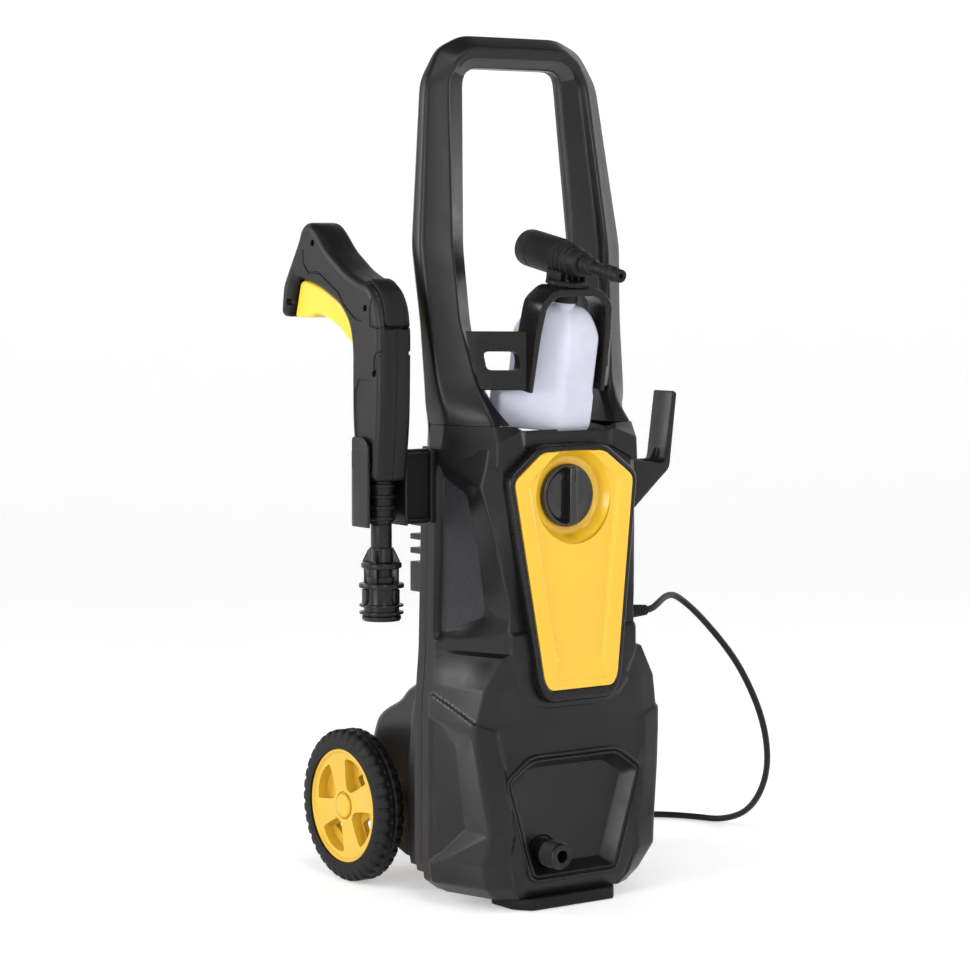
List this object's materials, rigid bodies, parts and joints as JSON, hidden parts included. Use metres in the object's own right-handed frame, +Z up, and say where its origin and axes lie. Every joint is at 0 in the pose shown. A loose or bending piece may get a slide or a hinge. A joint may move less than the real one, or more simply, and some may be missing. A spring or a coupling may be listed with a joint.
{
  "type": "pressure washer",
  "caption": "Upright wheeled pressure washer with loop handle, spray gun in its cradle, foam bottle with nozzle, rotary switch, water fittings, cord hook and mains cord.",
  "frame": {"origin": "middle of the rest face of the front foot, on the floor", "axes": "+Z up, -Y out of the front panel, +X to the right of a person who faces the front"},
  "size_m": [0.5877, 0.5493, 0.8504],
  "materials": {
    "housing_black": "satin moulded",
    "trim_black": "semi-gloss moulded",
    "panel_yellow": "gloss moulded",
    "wheel_yellow": "gloss moulded",
    "trigger_yellow": "gloss moulded",
    "nozzle_charcoal": "fine matte",
    "bottle_milky": "translucent milky",
    "tyre_black": "matte tread",
    "cord_black": "satin sheath",
    "steel": "brushed",
    "brass": "machined",
    "pump_alloy": "cast",
    "inner_black": "plain"
  },
  "bodies": {
    "body": {"accessory_holder": "trim_black", "axle": "steel", "cable_gland": "housing_black", "cord_coil": "cord_black", "cord_hook": "housing_black", "front_foot": "housing_black", "front_housing": "housing_black", "front_panel": "panel_yellow", "gun_holder": "housing_black", "handle_front_cover": "housing_black", "handle_rear_frame": "housing_black", "handle_screw_1": "steel", "handle_screw_2": "steel", "handle_screw_3": "steel", "handle_screw_4": "steel", "inlet_fitting": "brass", "mains_plug": "cord_black", "motor_housing": "inner_black", "outlet_fitting": "trim_black", "outlet_panel": "housing_black", "panel_bezel": "trim_black", "plug_pin_1": "steel", "plug_pin_2": "steel", "power_cord": "cord_black", "pressure_switch": "inner_black", "pump_body": "pump_alloy", "pump_head": "pump_alloy", "rear_housing": "housing_black", "rotary_switch": "inner_black", "suction_pipe": "inner_black", "top_collar": "housing_black"},
    "left_wheel": {"left_tyre": "tyre_black", "left_rim": "wheel_yellow", "left_hub_cap": "wheel_yellow"},
    "right_wheel": {"right_tyre": "tyre_black", "right_rim": "wheel_yellow", "right_hub_cap": "wheel_yellow"},
    "switch": {"switch_knob": "trim_black"},
    "rotor": {"motor_rotor": "steel", "wobble_plate": "steel", "motor_fan": "inner_black"},
    "piston_one": {"piston_1": "steel"},
    "piston_two": {"piston_2": "steel"},
    "piston_three": {"piston_3": "steel"},
    "gun": {"gun_shell_left": "housing_black", "gun_shell_right": "housing_black", "gun_valve": "brass", "gun_boot": "housing_black", "lance_tube": "trim_black", "lance_socket": "housing_black"},
    "trigger": {"gun_trigger": "trigger_yellow"},
    "release": {"release_button": "housing_black"},
    "bottle": {"foam_bottle": "bottle_milky", "bottle_cap": "nozzle_charcoal", "dip_tube": "bottle_milky", "nozzle_barrel": "nozzle_charcoal", "nozzle_body": "nozzle_charcoal", "nozzle_spigot": "nozzle_charcoal"}
  },
  "joints": [
    {"name": "left_wheel_spin", "type": "hinge", "parent": "body", "child": "left_wheel", "pos_m": [-0.094, 0.207, 0.0775], "axis": [1, 0, 0], "continuous": true},
    {"name": "right_wheel_spin", "type": "hinge", "parent": "body", "child": "right_wheel", "pos_m": [0.094, 0.207, 0.0775], "axis": [1, 0, 0], "continuous": true},
    {"name": "switch_turn", "type": "hinge", "parent": "body", "child": "switch", "pos_m": [0, -0.01, 0.403], "axis": [0, 1, 0], "range_deg": [0, 90]},
    {"name": "rotor_spin", "type": "hinge", "parent": "body", "child": "rotor", "pos_m": [0, 0.075, 0.2], "axis": [0, 0, 1], "continuous": true},
    {"name": "piston_1_stroke", "type": "slide", "parent": "body", "child": "piston_one", "axis": [0, 0, -1], "range_m": [0, 0.007], "stiffness_N_per_m": 2000},
    {"name": "piston_2_stroke", "type": "slide", "parent": "body", "child": "piston_two", "axis": [0, 0, -1], "range_m": [0, 0.007], "stiffness_N_per_m": 2000},
    {"name": "piston_3_stroke", "type": "slide", "parent": "body", "child": "piston_three", "axis": [0, 0, -1], "range_m": [0, 0.007], "stiffness_N_per_m": 2000},
    {"name": "gun_lift", "type": "slide", "parent": "body", "child": "gun", "axis": [0, 0, 1], "range_m": [0, 0.05]},
    {"name": "trigger_pull", "type": "hinge", "parent": "gun", "child": "trigger", "pos_m": [-0.168, 0.102, 0.56], "axis": [1, 0, 0], "range_deg": [0, 8], "stiffness_Nm_per_rad": 0.5, "springref_deg": -8.59},
    {"name": "release_press", "type": "slide", "parent": "gun", "child": "release", "axis": [0, 0.7071, -0.7071], "range_m": [0, 0.003], "stiffness_N_per_m": 300, "springref_m": -0.001},
    {"name": "bottle_pull", "type": "slide", "parent": "body", "child": "bottle", "axis": [0, 0.9826, 0.1857], "range_m": [0, 0.15]}
  ]
}
